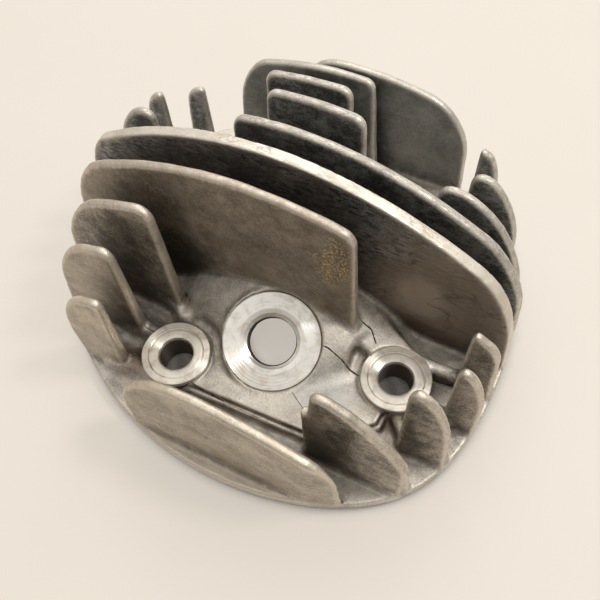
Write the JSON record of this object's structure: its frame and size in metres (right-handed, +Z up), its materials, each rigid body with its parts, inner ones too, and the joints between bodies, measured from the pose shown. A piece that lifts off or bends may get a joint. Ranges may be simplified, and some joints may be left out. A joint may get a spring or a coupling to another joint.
{
  "type": "air-cooled engine cylinder head",
  "caption": "Die-cast aluminium cylinder head with parallel cooling fins, leaning spark plug boss, stud bosses and a domed combustion chamber.",
  "frame": {"origin": "at the gasket face, the centre of the bounding box's underside; the cylinder axis stands at x 3.4 mm, y 0.6 mm", "axes": "+Z up along the cylinder axis, away from the gasket face; +X along the fins; +Y across the fins from the spark plug side to the far side"},
  "size_m": [0.126, 0.113, 0.0559],
  "materials": {
    "cast_body": "as cast, grey-beige, lightly stained",
    "cast_fin": "as cast, dark tarnish with bright worn edges",
    "machined_face": "bright turned face"
  },
  "bodies": {
    "root": {"base_plate": "cast_body", "crown": "cast_body", "front_pad": "cast_body", "boss_web": "cast_body", "plug_boss": "machined_face", "stud_boss_front_left": "machined_face", "stud_boss_front_right": "machined_face", "stud_boss_back_left": "machined_face", "stud_boss_back_right": "machined_face", "fin_01_front": "cast_fin", "fin_02_left": "cast_fin", "fin_02_right": "cast_fin", "fin_03_left": "cast_fin", "fin_03_right": "cast_fin", "fin_04_left": "cast_fin", "fin_04_right": "cast_fin", "fin_05_long": "cast_fin", "fin_05_right": "cast_fin", "fin_06_main": "cast_fin", "fin_07_left": "cast_fin", "fin_07_long": "cast_fin", "fin_08_left": "cast_fin", "fin_08_middle": "cast_fin", "fin_08_right": "cast_fin", "fin_09_left": "cast_fin", "fin_09_middle": "cast_fin", "fin_09_right": "cast_fin", "fin_10_long": "cast_fin", "fin_10_right": "cast_fin", "fin_11_back": "cast_fin"}
  },
  "joints": []
}
